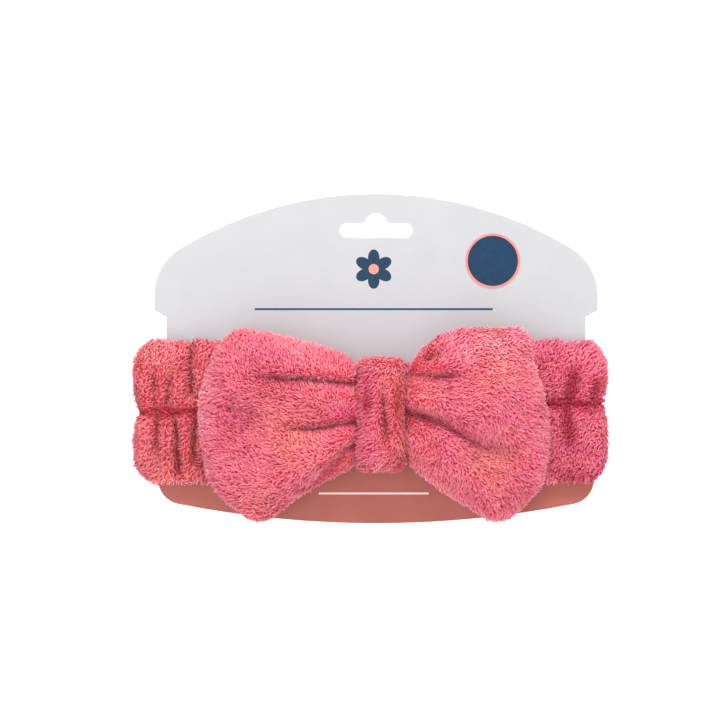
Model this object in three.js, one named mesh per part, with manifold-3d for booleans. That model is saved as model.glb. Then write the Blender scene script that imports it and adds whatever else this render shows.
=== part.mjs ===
import * as THREE from "three";
import { ParametricGeometry } from "three/addons/geometries/ParametricGeometry.js";
import { RoundedBoxGeometry } from "three/addons/geometries/RoundedBoxGeometry.js";
import { mergeVertices } from "three/addons/utils/BufferGeometryUtils.js";
import Module from "manifold-3d";

// Spa headband of plush fleece with a bow, stretched over its hanging display card.
// Millimetres, +Z up, the bow faces -Y. The origin is the top of the hang slot, on the card's mid-plane.

// Display card
const cardThickness = 0.6;
const cardTop = 8.3;
const cardBottom = -135.5;
const topArcRadius = 165;
const shoulderHalfWidth = 96.8;
const shoulderRadius = 24;
const shoulderBottom = -42.4;
const neckHalfWidth = 91.5;
const neckStep = 3;
const tabHalfWidth = 95.2;
const tabUpright = 2.3;
const tabRadius = 11;
const bottomArcRadius = 446;

// Hang slot of the card: a bar with a round seat above it for the peg
const slotHalfLength = 16;
const slotHeight = 6.6;
const slotSeatRadius = 4.75;
const slotFillet = 1.3;

// Blank round sticker
const stickerRadius = 12;
const stickerThickness = 0.2;
const stickerX = 51;
const stickerZ = -20.9;

// Gaps between neighbouring pieces
const seatGap = 0.3;
const slideGap = 0.4;

// Band: a flattened loop, made of an outer and a lining layer round an elastic
const bandX = -1.8;
const bandZ = -86.75;
const bandHeight = 65.5;
const liningThickness = 2.2;
const elasticThickness = 0.8;
const elasticWidth = 20;
const outerThickness = 4.2;
const creaseDepth = 2.3;
const creaseFloor = 2;
const seamThread = 0.7;
const stitchThread = 0.5;
const stitchRise = 0.3;
const stitchPitch = 6;
const zigzag = 1.2;

// Knot: the strip of fleece that gathers the middle of the bow and the band behind it
const knotX = 2;
const knotZ = -88.3;
const knotWidth = 20;
const knotWall = 2.3;
const knotPuff = 5.2;
const strapThickness = 1.8;
const strapToCard = 1.1;
const gatheredHeight = 45;
const gatherSpread = 6;
const waistThickness = 13.3;

// Lobes of the bow
const lobeFront = 14;
const lobeBack = 5.9;
const lobeClearance = 0.8;
const lobeRootGap = 0.4;
const rimSeamRadius = 0.4;
const rimSeamInset = 1.6;
const hingeInset = 4;
const hingeY = -20;

const fleecePink = 0xe06a82;
const liningPink = 0xd65f78;
const threadPink = 0xc24f68;

const wasm = await Module();
wasm.setup();

function bareGeometry(geometry) {
  const bare = geometry.clone();
  bare.deleteAttribute("normal");
  bare.deleteAttribute("uv");
  const merged = mergeVertices(bare, 1e-4);
  merged.computeVertexNormals();
  return merged;
}

function toSolid(geometry) {
  const bare = geometry.clone();
  bare.deleteAttribute("normal");
  bare.deleteAttribute("uv");
  const merged = mergeVertices(bare, 1e-4);
  const mesh = new wasm.Mesh({
    numProp: 3,
    vertProperties: Float32Array.from(merged.attributes.position.array),
    triVerts: Uint32Array.from(merged.index.array),
  });
  return new wasm.Manifold(mesh);
}

function toGeometry(solid) {
  const mesh = solid.getMesh();
  const geometry = new THREE.BufferGeometry();
  geometry.setAttribute("position", new THREE.BufferAttribute(mesh.vertProperties, 3));
  geometry.setIndex(new THREE.BufferAttribute(mesh.triVerts, 1));
  geometry.computeVertexNormals();
  return geometry;
}

// A closed ring: pointAt(station, corner) gives each corner of the cross-section at each station.
function ringGeometry(stationCount, cornerCount, pointAt) {
  const place = (u, v, target) => {
    const corner = Math.round(u * cornerCount) % cornerCount;
    const station = Math.round(v * stationCount) % stationCount;
    target.copy(pointAt(station, corner));
  };
  return bareGeometry(new ParametricGeometry(place, cornerCount, stationCount));
}

function piece(name, geometry, color, roughness) {
  const material = new THREE.MeshStandardMaterial({ color, roughness, metalness: 0 });
  const mesh = new THREE.Mesh(geometry, material);
  mesh.name = name;
  return mesh;
}

// ---- Card ----

// Centre height of a corner circle that touches a big arc from inside and an upright edge.
function cornerCentre(arcCentreZ, arcRadius, cornerRadius, halfWidth, side) {
  const reach = arcRadius - cornerRadius;
  return arcCentreZ + side * Math.sqrt(reach ** 2 - (halfWidth - cornerRadius) ** 2);
}

function hangSlot() {
  const barTop = -slotSeatRadius + 0.45;
  const barBottom = barTop - slotHeight;
  const endRadius = slotHeight / 2;
  const endX = slotHalfLength - endRadius;
  const filletZ = barTop + slotFillet;
  const rise = filletZ + slotSeatRadius;
  const filletX = Math.sqrt((slotSeatRadius + slotFillet) ** 2 - rise ** 2);
  const lean = Math.atan2(rise, filletX);
  const slot = new THREE.Path();
  slot.moveTo(-endX, barBottom);
  slot.lineTo(endX, barBottom);
  slot.absarc(endX, barBottom + endRadius, endRadius, -Math.PI / 2, Math.PI / 2, false);
  slot.lineTo(filletX, barTop);
  slot.absarc(filletX, filletZ, slotFillet, 1.5 * Math.PI, Math.PI + lean, true);
  slot.absarc(0, -slotSeatRadius, slotSeatRadius, lean, Math.PI - lean, false);
  slot.absarc(-filletX, filletZ, slotFillet, 2 * Math.PI - lean, 1.5 * Math.PI, true);
  slot.lineTo(-endX, barTop);
  slot.absarc(-endX, barBottom + endRadius, endRadius, Math.PI / 2, 1.5 * Math.PI, false);
  return slot;
}

function cardOutline() {
  const topZ = cardTop - topArcRadius;
  const shoulderX = shoulderHalfWidth - shoulderRadius;
  const shoulderZ = cornerCentre(topZ, topArcRadius, shoulderRadius, shoulderHalfWidth, 1);
  const topAngle = Math.atan2(shoulderZ - topZ, shoulderX);
  const bottomZ = cardBottom + bottomArcRadius;
  const tabX = tabHalfWidth - tabRadius;
  const tabZ = cornerCentre(bottomZ, bottomArcRadius, tabRadius, tabHalfWidth, -1);
  const bottomAngle = Math.atan2(tabZ - bottomZ, tabX);
  const tabTop = tabZ + tabUpright;
  const neckBottom = tabTop + neckStep;
  const outline = new THREE.Shape();
  outline.absarc(0, topZ, topArcRadius, topAngle, Math.PI - topAngle, false);
  outline.absarc(-shoulderX, shoulderZ, shoulderRadius, Math.PI - topAngle, Math.PI, false);
  outline.lineTo(-shoulderHalfWidth, shoulderBottom);
  outline.lineTo(-neckHalfWidth, shoulderBottom - neckStep);
  outline.lineTo(-neckHalfWidth, neckBottom);
  outline.lineTo(-tabHalfWidth, tabTop);
  outline.absarc(-tabX, tabZ, tabRadius, Math.PI, Math.PI - bottomAngle, false);
  outline.absarc(0, bottomZ, bottomArcRadius, Math.PI - bottomAngle, 2 * Math.PI + bottomAngle, false);
  outline.absarc(tabX, tabZ, tabRadius, bottomAngle, 0, false);
  outline.lineTo(tabHalfWidth, tabTop);
  outline.lineTo(neckHalfWidth, neckBottom);
  outline.lineTo(neckHalfWidth, shoulderBottom - neckStep);
  outline.lineTo(shoulderHalfWidth, shoulderBottom);
  outline.absarc(shoulderX, shoulderZ, shoulderRadius, 0, topAngle, false);
  outline.holes.push(hangSlot());
  return outline;
}

function backingCard() {
  const sheet = { depth: cardThickness, bevelEnabled: false, curveSegments: 8 };
  const geometry = new THREE.ExtrudeGeometry(cardOutline(), sheet);
  geometry.rotateX(Math.PI / 2);
  geometry.translate(0, cardThickness / 2, 0);
  return piece("backing_card", bareGeometry(geometry), 0xe8e9ea, 0.55);
}

function priceSticker() {
  const geometry = new THREE.CylinderGeometry(stickerRadius, stickerRadius, stickerThickness, 40);
  const sticker = piece("price_sticker", bareGeometry(geometry), 0xf09088, 0.4);
  sticker.position.set(stickerX, -(cardThickness + stickerThickness) / 2, stickerZ);
  return sticker;
}

// ---- Band ----

const elasticIn = liningThickness + seatGap;
const elasticOut = elasticIn + elasticThickness;
const wallThickness = elasticIn + outerThickness;
const creaseOut = wallThickness - creaseDepth;
const halfHeight = bandHeight / 2;
const innerGap = cardThickness / 2 + seatGap;
const runHalfLength = tabHalfWidth + slideGap - bandX - innerGap;
const cardFrontY = -cardThickness / 2;
const strapBackY = cardFrontY - strapToCard;
const strapFrontY = strapBackY - strapThickness;
const gatherReach = knotWidth / 2 + gatherSpread;
const gatherSqueeze = 1 - gatheredHeight / bandHeight;

// How strongly the knot gathers the front run at x: 1 at the knot, 0 away from it.
function gather(x) {
  return Math.exp(-((Math.abs(x - knotX) / gatherReach) ** 6));
}

const knotEdgePull = gather(knotX + knotWidth / 2);
const gatherShift = (innerGap + strapFrontY - seatGap) / knotEdgePull;

// Places along the front run, closer together where the knot gathers it.
function frontPlaces() {
  const marks = [bandX - runHalfLength, knotX - 1.4 * gatherReach, knotX + 1.4 * gatherReach];
  marks.push(bandX + runHalfLength);
  const steps = [9, 18, 9];
  const places = [marks[0]];
  steps.forEach((count, part) => {
    for (let i = 1; i <= count; i++) {
      places.push(THREE.MathUtils.lerp(marks[part], marks[part + 1], i / count));
    }
  });
  return places;
}

// Places round the loop: the front run, the right fold, the back run and the left fold.
function bandStations() {
  const stations = [];
  const backSteps = 10;
  const foldSteps = 7;
  for (const x of frontPlaces()) {
    stations.push({ x, y: -innerGap + gatherShift * gather(x), angle: -Math.PI / 2, pull: gather(x) });
  }
  for (let i = 1; i < foldSteps; i++) {
    const angle = -Math.PI / 2 + Math.PI * i / foldSteps;
    stations.push(foldStation(bandX + runHalfLength, angle));
  }
  for (let i = 0; i <= backSteps; i++) {
    const x = bandX + runHalfLength * (1 - 2 * i / backSteps);
    stations.push({ x, y: innerGap, angle: Math.PI / 2, pull: 0 });
  }
  for (let i = 1; i < foldSteps; i++) {
    const angle = Math.PI / 2 + Math.PI * i / foldSteps;
    stations.push(foldStation(bandX - runHalfLength, angle));
  }
  return stations;
}

function foldStation(centreX, angle) {
  return {
    x: centreX + innerGap * Math.cos(angle),
    y: innerGap * Math.sin(angle),
    angle,
    pull: 0,
  };
}

// A point of the band: out is the distance from its inner face, up the height above its mid-line.
function bandPoint(station, out, up) {
  const { x, y, angle, pull } = station;
  const centre = THREE.MathUtils.lerp(bandZ, knotZ, pull);
  const height = up * (1 - gatherSqueeze * pull);
  return new THREE.Vector3(x + out * Math.cos(angle), y + out * Math.sin(angle), centre + height);
}

const stations = bandStations();

function bandRing(section) {
  return ringGeometry(stations.length, section.length, (i, j) => bandPoint(stations[i], ...section[j]));
}

// Outer face of one puff between the crease and the edge of the band.
function puffOut(up) {
  const rise = (2 * (up - creaseFloor / 2)) / (halfHeight - creaseFloor / 2) - 1;
  const bulge = 1 - Math.min(1, Math.abs(rise)) ** 2.6;
  return creaseOut + creaseDepth * bulge ** (1 / 2.6);
}

function mirrored(half) {
  const below = half.map(([out, up]) => [out, -up]);
  return [...half, ...below.reverse()];
}

function bandOuter() {
  const puffSteps = 8;
  const half = [];
  half.push([elasticOut + seatGap, elasticWidth / 2 + seatGap]);
  half.push([elasticIn, elasticWidth / 2 + seatGap]);
  half.push([elasticIn, halfHeight - 1.9]);
  half.push([elasticIn + 0.5, halfHeight - 1.3]);
  half.push([elasticIn + 0.7, halfHeight - 0.6]);
  for (let i = 0; i <= puffSteps; i++) {
    const along = 0.5 + 0.5 * Math.cos(Math.PI * i / puffSteps);
    const up = creaseFloor / 2 + (halfHeight - creaseFloor / 2) * along;
    half.push([puffOut(up), up]);
  }
  return piece("band_outer_fleece", bandRing(mirrored(half)), fleecePink, 0.95);
}

function bandLining() {
  const edge = halfHeight - 1.7;
  const half = [
    [0, edge - 1.5],
    [0.6, edge - 0.5],
    [1.4, edge],
    [liningThickness, edge],
  ];
  return piece("band_lining_fleece", bandRing(mirrored(half)), liningPink, 0.95);
}

function elasticBand() {
  const half = [
    [elasticIn, elasticWidth / 2],
    [elasticOut, elasticWidth / 2],
  ];
  return piece("elastic_band", bandRing(mirrored(half)), 0xf2efe9, 0.8);
}

function edgeSeam(name, side) {
  const near = halfHeight - 1.2;
  const far = near + seamThread;
  const inner = elasticIn - seamThread + 0.1;
  const outer = inner + seamThread;
  const corners = [[inner, near], [inner, far], [outer, far], [outer, near]];
  const section = corners.map(([out, up]) => [out, side * up]);
  if (side < 0) section.reverse();
  return piece(name, bandRing(section), threadPink, 0.7);
}

// A thread of square section through the given points.
function thread(name, points) {
  const half = stitchThread / 2;
  const section = new THREE.Shape();
  section.moveTo(-half, -half);
  section.lineTo(half, -half);
  section.lineTo(half, half);
  section.lineTo(-half, half);
  const route = new THREE.CatmullRomCurve3(points, false, "centripetal");
  const run = { steps: 3 * (points.length - 1), bevelEnabled: false, extrudePath: route };
  return piece(name, bareGeometry(new THREE.ExtrudeGeometry(section, run)), threadPink, 0.7);
}

// The stitching in the crease, all round the loop: it dips and rises from stitch to stitch.
function centreStitch() {
  const half = stitchThread / 2;
  const low = creaseOut + seatGap;
  const corners = [[low, -half], [low, half], [low + stitchThread, half], [low + stitchThread, -half]];
  const pointAt = (i, j) => {
    const [out, up] = corners[j];
    return bandPoint(stations[i], out + stitchRise * (i % 2), up);
  };
  const geometry = ringGeometry(stations.length, corners.length, pointAt);
  return piece("centre_stitch", geometry, threadPink, 0.7);
}

// The upright zigzag that closes the loop, in the middle of the back run.
function closingSeam() {
  const points = [];
  const count = 2 * Math.floor((halfHeight - 4) / stitchPitch);
  for (let i = -count; i <= count; i++) {
    const up = (i * stitchPitch) / 2;
    const reach = stitchPitch / 3;
    const out = Math.max(...[up - reach, up, up + reach].map((place) => puffOut(Math.abs(place))));
    const y = innerGap + out + seatGap + stitchThread / 2;
    points.push(new THREE.Vector3(bandX + zigzag * (i % 2), y, bandZ + up));
  }
  return thread("closing_seam", points);
}

// ---- Knot and the gathered middle of the bow ----

const bandFrontY = -innerGap + gatherShift - wallThickness;
const waistBackY = bandFrontY - seatGap;
const waistFrontY = waistBackY - waistThickness;
const knotInnerFront = waistFrontY - seatGap;
const knotEdgeHalf = halfHeight * (1 - gatherSqueeze * knotEdgePull);
const knotEdgeDrift = Math.abs(bandZ - knotZ) * (1 - knotEdgePull);
const knotInnerHalf = knotEdgeHalf + knotEdgeDrift + 1.3 * seatGap;

// Corners of an upright rounded rectangle between two depths.
function roundedLoop(frontY, backY, halfTall, radius) {
  const points = [];
  const steps = 5;
  const corners = [[backY, 1, 0], [frontY, 1, 1], [frontY, -1, 2], [backY, -1, 3]];
  for (const [y, side, turn] of corners) {
    const centreY = y === backY ? backY - radius : frontY + radius;
    const centreZ = side * (halfTall - radius);
    for (let i = 0; i <= steps; i++) {
      const angle = (Math.PI / 2) * (turn + i / steps);
      points.push([centreY + radius * Math.cos(angle), knotZ + centreZ + radius * Math.sin(angle)]);
    }
  }
  return points;
}

function knotWrap() {
  const inner = roundedLoop(knotInnerFront, strapFrontY, knotInnerHalf, 2.5);
  const outer = roundedLoop(knotInnerFront - knotPuff, strapBackY, knotInnerHalf + knotWall, 4.2);
  const arcSteps = 8;
  const section = [[-1, 0], [1, 0]];
  for (let i = 0; i <= arcSteps; i++) {
    const across = 1 - 2 * i / arcSteps;
    section.push([across, 0.3 + 0.7 * (1 - Math.abs(across) ** 3) ** 0.5]);
  }
  const pointAt = (i, j) => {
    const [across, rise] = section[j];
    const y = THREE.MathUtils.lerp(inner[i][0], outer[i][0], rise);
    const z = THREE.MathUtils.lerp(inner[i][1], outer[i][1], rise);
    return new THREE.Vector3(knotX + (across * knotWidth) / 2, y, z);
  };
  return piece("knot_wrap", ringGeometry(inner.length, section.length, pointAt), fleecePink, 0.95);
}

function bowWaist() {
  const width = knotWidth - 2 * seatGap;
  const tall = 2 * (knotInnerHalf - seatGap);
  const geometry = new RoundedBoxGeometry(width, waistThickness, tall, 3, 3);
  const waist = piece("bow_waist", bareGeometry(geometry), liningPink, 0.95);
  waist.position.set(knotX, waistBackY - waistThickness / 2, knotZ);
  return waist;
}

// The zigzag that closes the knot's strip, behind the band.
function knotTack() {
  const points = [];
  const count = 5;
  for (let i = -count; i <= count; i++) {
    const x = knotX + zigzag * (i % 2);
    const z = knotZ + (i * stitchPitch) / 2;
    points.push(new THREE.Vector3(x, strapBackY + seatGap + stitchThread / 2, z));
  }
  return thread("knot_tack", points);
}

// ---- Lobes of the bow ----

const lobeMidY = -(innerGap + wallThickness + lobeClearance + lobeBack);
const leftRootX = knotX - knotWidth / 2 - seatGap + lobeRootGap / 2;
const rightRootX = knotX + knotWidth / 2 + seatGap - lobeRootGap / 2;

const leftLobe = {
  side: "left",
  rootX: leftRootX,
  centre: [-33.9, -92],
  outline: [
    [-0.1, -75], [-2, -64], [-12, -58.5], [-25, -54.8], [-42.5, -50.9], [-55, -51.2], [-63, -64.5],
    [-69, -82], [-69, -91], [-66.5, -106], [-62.5, -119], [-52, -129], [-42, -135.3], [-25, -123.5],
    [-10, -115], [-2, -110], [-0.1, -100], [0, -87],
  ],
};

const rightLobe = {
  side: "right",
  rootX: rightRootX,
  centre: [29.9, -92],
  outline: [
    [0.1, -77], [2, -68], [9.5, -56.5], [20.5, -50.6], [36, -50], [51.5, -50.2], [56, -59],
    [60.3, -73], [62.9, -86], [63.3, -99], [60, -116.5], [53, -126], [40.5, -134.8], [29, -129],
    [16, -121], [3, -110], [0.1, -100], [0, -88],
  ],
};

// The lobe's edge as a closed curve; share shrinks it towards the middle of the lobe.
function lobeEdge(lobe, share) {
  const [middle, centreZ] = lobe.centre;
  const points = lobe.outline.map(([x, z]) => {
    const placeX = lobe.rootX + THREE.MathUtils.lerp(middle, x, share);
    return new THREE.Vector3(placeX, lobeMidY, THREE.MathUtils.lerp(centreZ, z, share));
  });
  return new THREE.CatmullRomCurve3(points, true, "centripetal");
}

// A cushion over the lobe's outline, deeper in front than behind.
function lobeCushion(lobe) {
  const geometry = new THREE.SphereGeometry(1, 44, 14);
  const edge = lobeEdge(lobe, 1);
  const centreX = lobe.rootX + lobe.centre[0];
  const centreZ = lobe.centre[1];
  const turn = lobe.side === "left" ? 1 : -1;
  const at = geometry.attributes.position;
  for (let i = 0; i < at.count; i++) {
    const round = Math.hypot(at.getX(i), at.getZ(i));
    const angle = Math.atan2(turn * at.getZ(i), at.getX(i)) / (2 * Math.PI);
    const rim = edge.getPointAt((angle + 1) % 1);
    const share = round ** 0.8;
    const depth = Math.abs(at.getY(i)) ** 0.7;
    const y = at.getY(i) > 0 ? lobeMidY + lobeBack * depth : lobeMidY - lobeFront * depth;
    at.setXYZ(i, THREE.MathUtils.lerp(centreX, rim.x, share), y, THREE.MathUtils.lerp(centreZ, rim.z, share));
  }
  return toSolid(geometry);
}

// The seam thread that runs round the lobe inside its edge; grow widens it for the groove.
function rimSeam(lobe, grow) {
  const inset = 1 - rimSeamInset / 40;
  const edge = lobeEdge(lobe, inset);
  const steps = 44;
  const corners = 6;
  const radius = rimSeamRadius + grow;
  return ringGeometry(steps, corners, (i, j) => {
    const at = edge.getPointAt(i / steps);
    const along = edge.getTangentAt(i / steps);
    const angle = (-2 * Math.PI * j) / corners;
    const across = new THREE.Vector3(-along.z, 0, along.x).multiplyScalar(radius * Math.cos(angle));
    return at.add(across).add(new THREE.Vector3(0, radius * Math.sin(angle), 0));
  });
}

function lobeGroup(lobe) {
  const cushion = lobeCushion(lobe);
  const groove = toSolid(rimSeam(lobe, seatGap));
  const half = new THREE.BoxGeometry(300, 60, 300);
  const frontHalf = toSolid(half.clone().translate(0, lobeMidY - seatGap / 2 - 30, lobe.centre[1]));
  const backHalf = toSolid(half.clone().translate(0, lobeMidY + seatGap / 2 + 30, lobe.centre[1]));
  const front = toGeometry(cushion.intersect(frontHalf).subtract(groove));
  const back = toGeometry(cushion.intersect(backHalf).subtract(groove));
  const seam = rimSeam(lobe, 0);
  const inward = lobe.side === "left" ? -hingeInset : hingeInset;
  const hinge = new THREE.Vector3(lobe.rootX + inward, hingeY, 0);
  const group = new THREE.Group();
  group.position.copy(hinge);
  const parts = [
    piece(`${lobe.side}_lobe_front`, front, fleecePink, 0.95),
    piece(`${lobe.side}_lobe_back`, back, liningPink, 0.95),
    piece(`${lobe.side}_lobe_seam`, seam, threadPink, 0.7),
  ];
  for (const part of parts) {
    part.position.copy(hinge).negate();
    group.add(part);
  }
  return group;
}

function cardGroup() {
  const group = new THREE.Group();
  group.add(backingCard(), priceSticker());
  return group;
}

function headbandGroup() {
  const group = new THREE.Group();
  group.add(bandOuter(), bandLining(), elasticBand());
  group.add(edgeSeam("upper_edge_seam", 1), edgeSeam("lower_edge_seam", -1));
  group.add(centreStitch(), closingSeam());
  group.add(bowWaist(), knotWrap(), knotTack());
  group.add(lobeGroup(leftLobe), lobeGroup(rightLobe));
  return group;
}

const spaHeadband = new THREE.Group();
spaHeadband.add(cardGroup(), headbandGroup());

export default spaHeadband;
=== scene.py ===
import math

import bmesh
import bpy
import numpy as np
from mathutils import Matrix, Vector, noise


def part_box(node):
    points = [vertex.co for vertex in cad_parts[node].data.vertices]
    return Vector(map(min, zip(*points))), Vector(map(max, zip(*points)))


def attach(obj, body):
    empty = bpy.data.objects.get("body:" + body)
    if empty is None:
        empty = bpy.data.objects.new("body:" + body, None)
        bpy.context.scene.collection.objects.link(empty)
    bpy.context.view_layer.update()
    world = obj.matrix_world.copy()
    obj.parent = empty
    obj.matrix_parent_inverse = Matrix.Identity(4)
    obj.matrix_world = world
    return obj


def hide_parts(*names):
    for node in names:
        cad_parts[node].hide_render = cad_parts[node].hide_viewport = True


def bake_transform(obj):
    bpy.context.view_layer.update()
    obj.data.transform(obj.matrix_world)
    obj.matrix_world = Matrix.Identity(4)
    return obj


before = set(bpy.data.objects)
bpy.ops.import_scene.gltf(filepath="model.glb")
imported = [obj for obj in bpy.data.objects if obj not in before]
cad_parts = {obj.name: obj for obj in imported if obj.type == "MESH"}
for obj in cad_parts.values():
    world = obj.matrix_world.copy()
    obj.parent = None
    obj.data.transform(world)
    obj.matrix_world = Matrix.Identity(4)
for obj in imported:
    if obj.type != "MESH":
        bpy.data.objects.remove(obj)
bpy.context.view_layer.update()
mm = 0.001


def linearColor(hexColor):
    parts = [int(hexColor[i:i + 2], 16) / 255 for i in (1, 3, 5)]
    return [c / 12.92 if c <= 0.04045 else ((c + 0.055) / 1.055) ** 2.4 for c in parts] + [1]


def addNode(tree, kind, settings=None, inputs=None):
    node = tree.nodes.new(kind)
    for key, value in (settings or {}).items():
        setattr(node, key, value)
    for key, value in (inputs or {}).items():
        if isinstance(value, bpy.types.NodeSocket):
            tree.links.new(value, node.inputs[key])
        else:
            node.inputs[key].default_value = value
    return node


def newMaterial(name):
    material = bpy.data.materials.new(name)
    material.use_nodes = True
    material.node_tree.nodes.clear()
    return material, material.node_tree


def finishMaterial(tree, shader):
    addNode(tree, "ShaderNodeOutputMaterial", inputs={"Surface": shader.outputs[0]})


def setMaterial(piece, material):
    piece.data.materials.clear()
    piece.data.materials.append(material)


def newPiece(name, mesh):
    piece = bpy.data.objects.new(name, mesh)
    bpy.context.scene.collection.objects.link(piece)
    return piece


def readPoints(mesh):
    co = np.zeros(len(mesh.vertices) * 3)
    mesh.vertices.foreach_get("co", co)
    return co.reshape(-1, 3)


def readNormals(mesh):
    normals = np.zeros(len(mesh.vertices) * 3)
    mesh.vertex_normals.foreach_get("vector", normals)
    return normals.reshape(-1, 3)


def writePoints(mesh, co):
    mesh.vertices.foreach_set("co", np.asarray(co, np.float32).ravel())
    mesh.update()


def lengths(vectors):
    return np.linalg.norm(vectors, axis=1, keepdims=True)


def softNoise(co, size, seed):
    return np.array([noise.noise(Vector(p) / size + Vector((seed, 0, 0))) for p in co])


def applyModifiers(piece):
    bpy.context.view_layer.update()
    graph = bpy.context.evaluated_depsgraph_get()
    mesh = bpy.data.meshes.new_from_object(piece.evaluated_get(graph))
    piece.modifiers.clear()
    old = piece.data
    piece.data = mesh
    bpy.data.meshes.remove(old)


def addModifier(piece, name, kind, **settings):
    modifier = piece.modifiers.new(name, kind)
    for key, value in settings.items():
        setattr(modifier, key, value)
    return modifier


def splitLongEdges(shape, longest):
    for _ in range(6):
        edges = [edge for edge in shape.edges if edge.calc_length() > longest]
        bmesh.ops.subdivide_edges(shape, edges=edges, cuts=1)
        bmesh.ops.triangulate(shape, faces=[face for face in shape.faces if len(face.verts) > 3])


def mergedCopy(name, node, longest=None):
    # a copy of a plain solid with its loose triangles merged, and its long edges split if longest is given
    shape = bmesh.new()
    shape.from_mesh(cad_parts[node].data)
    bmesh.ops.remove_doubles(shape, verts=shape.verts, dist=1e-5)
    if longest:
        splitLongEdges(shape, longest)
    mesh = bpy.data.meshes.new(name)
    shape.to_mesh(mesh)
    shape.free()
    return newPiece(name, mesh)


def paddingFrom(name, node, voxel, before=None):
    # a merged copy of the plain cushion, remeshed into even quads
    piece = mergedCopy(name, node)
    if before:
        writePoints(piece.data, before(readPoints(piece.data)))
    addModifier(piece, "even", "REMESH", mode="VOXEL", voxel_size=voxel, adaptivity=0)
    applyModifiers(piece)
    return piece


def shrinkPadding(piece, amount):
    # room for the pile between the cloth and the outline
    co = readPoints(piece.data)
    writePoints(piece.data, co - readNormals(piece.data) * amount)


def closeInside(piece, facing, middleY, room):
    # the flat inner face goes back to the seam, so that the two layers of a lobe meet round its rim
    co = readPoints(piece.data)
    depth = facing * (co[:, 1] - middleY)
    co[:, 1] -= facing * (room - 0.2 * mm) * np.clip(1 - (depth - room) / (3 * mm), 0, 1)
    writePoints(piece.data, co)


clothFeel = {"quality": 6, "mass": 0.12, "tension_stiffness": 12, "compression_stiffness": 12,
             "bending_stiffness": 0.4}


def puffCloth(piece, held, pressure, reach):
    # cloth under pressure; held marks how firmly each point stays, reach is the farthest it may move
    start = readPoints(piece.data)
    group = piece.vertex_groups.new(name="held")
    for index, weight in enumerate(held):
        group.add([index], float(weight), "REPLACE")
    cloth = addModifier(piece, "puff", "CLOTH")
    for key, value in clothFeel.items():
        setattr(cloth.settings, key, value)
    cloth.settings.use_pressure = True
    cloth.settings.uniform_pressure_force = pressure
    cloth.settings.vertex_group_mass = "held"
    cloth.settings.effector_weights.gravity = 0
    cloth.collision_settings.use_collision = False
    cloth.point_cache.frame_start = 1
    cloth.point_cache.frame_end = 20
    for step in range(1, 21):
        bpy.context.scene.frame_set(step)
    applyModifiers(piece)
    bpy.context.scene.frame_set(1)
    move = readPoints(piece.data) - start
    move *= np.minimum(1, reach / np.maximum(lengths(move), 1e-9))
    writePoints(piece.data, start + move)


def refine(piece, levels):
    addModifier(piece, "finer", "SUBSURF", levels=levels, render_levels=levels)
    applyModifiers(piece)


def smoothPoints(piece, repeat, factor=0.5):
    addModifier(piece, "smooth", "SMOOTH", iterations=repeat, factor=factor)
    applyModifiers(piece)


def closeTo(co, x, z, radius):
    # 1 at a place seen from the front, fading to 0 round it; all in mm
    return np.exp(-((co[:, 0] - x * mm) ** 2 + (co[:, 2] - z * mm) ** 2) / (radius * mm) ** 2)


def alongPath(co, path):
    # distance from a fold's line seen from the front, which side, and how far along it each point is
    flat = co[:, [0, 2]]
    line = np.array(path) * mm
    steps = np.diff(line, axis=0)
    stepLengths = lengths(steps)[:, 0]
    total = stepLengths.sum()
    best = np.full(len(flat), 1e9)
    side = np.zeros(len(flat))
    share = np.zeros(len(flat))
    before = 0
    for start, step, length in zip(line[:-1], steps, stepLengths):
        t = np.clip(((flat - start) @ step) / length ** 2, 0, 1)
        offset = flat - (start + t[:, None] * step)
        distance = lengths(offset)[:, 0]
        nearer = distance < best
        best[nearer] = distance[nearer]
        cross = step[0] * offset[:, 1] - step[1] * offset[:, 0]
        side[nearer] = np.sign(cross[nearer])
        share[nearer] = (before + t[nearer] * length) / total
        before += length
    return best, side, share


# sizes are shares of the tuft's length; stray and scatter are how unevenly tufts stand and lie;
# shadeSpread and hueSpread are how much one tuft differs from the next
tuft = {"width": 0.155, "lean": 0.62, "curl": 0.2, "rise": 0.95, "ringWidths": (0.75, 1.0, 0.7, 0.0),
        "ringHeights": (0.0, 0.42, 0.78, 1.0), "stray": 0.38, "scatter": 0.75, "shortest": 0.75,
        "longest": 1.25, "shadeSpread": 0.2, "hueSpread": 0.5}


def makeTuft():
    # one lock of fibres one unit long: three sides, bent over along the nap and a little to one side
    shape = bmesh.new()
    bmesh.ops.create_cone(shape, segments=3, radius1=1, radius2=0, depth=1)
    tip = max(shape.verts, key=lambda vert: vert.co.z)
    tip.co = (0, 0, 1)
    for vert in shape.verts:
        if vert is not tip:
            vert.co.z = 0
    root = [face for face in shape.faces if len(face.verts) == 3 and tip not in face.verts]
    bmesh.ops.delete(shape, geom=root, context="FACES_ONLY")
    sides = [edge for edge in shape.edges if tip in edge.verts]
    bmesh.ops.subdivide_edges(shape, edges=sides, cuts=2)
    levels = sorted(set(round(vert.co.z, 3) for vert in shape.verts))
    shares = []
    for vert in shape.verts:
        level = levels.index(round(vert.co.z, 3))
        height = tuft["ringHeights"][level]
        radius = math.hypot(vert.co.x, vert.co.y)
        wide = tuft["ringWidths"][level] * tuft["width"] / max(radius, 1e-6)
        vert.co.x = vert.co.x * wide + tuft["lean"] * height ** 1.4
        vert.co.y = vert.co.y * wide + tuft["curl"] * math.sin(height * 5)
        vert.co.z = tuft["rise"] * (height - 0.32 * height ** 2)
        shares.append(height)
    mesh = bpy.data.meshes.new("tuft")
    shape.to_mesh(mesh)
    shape.free()
    tipShare = mesh.attributes.new("tip", "FLOAT", "POINT")
    tipShare.data.foreach_set("value", shares)
    return bpy.data.objects.new("tuft", mesh)


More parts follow.
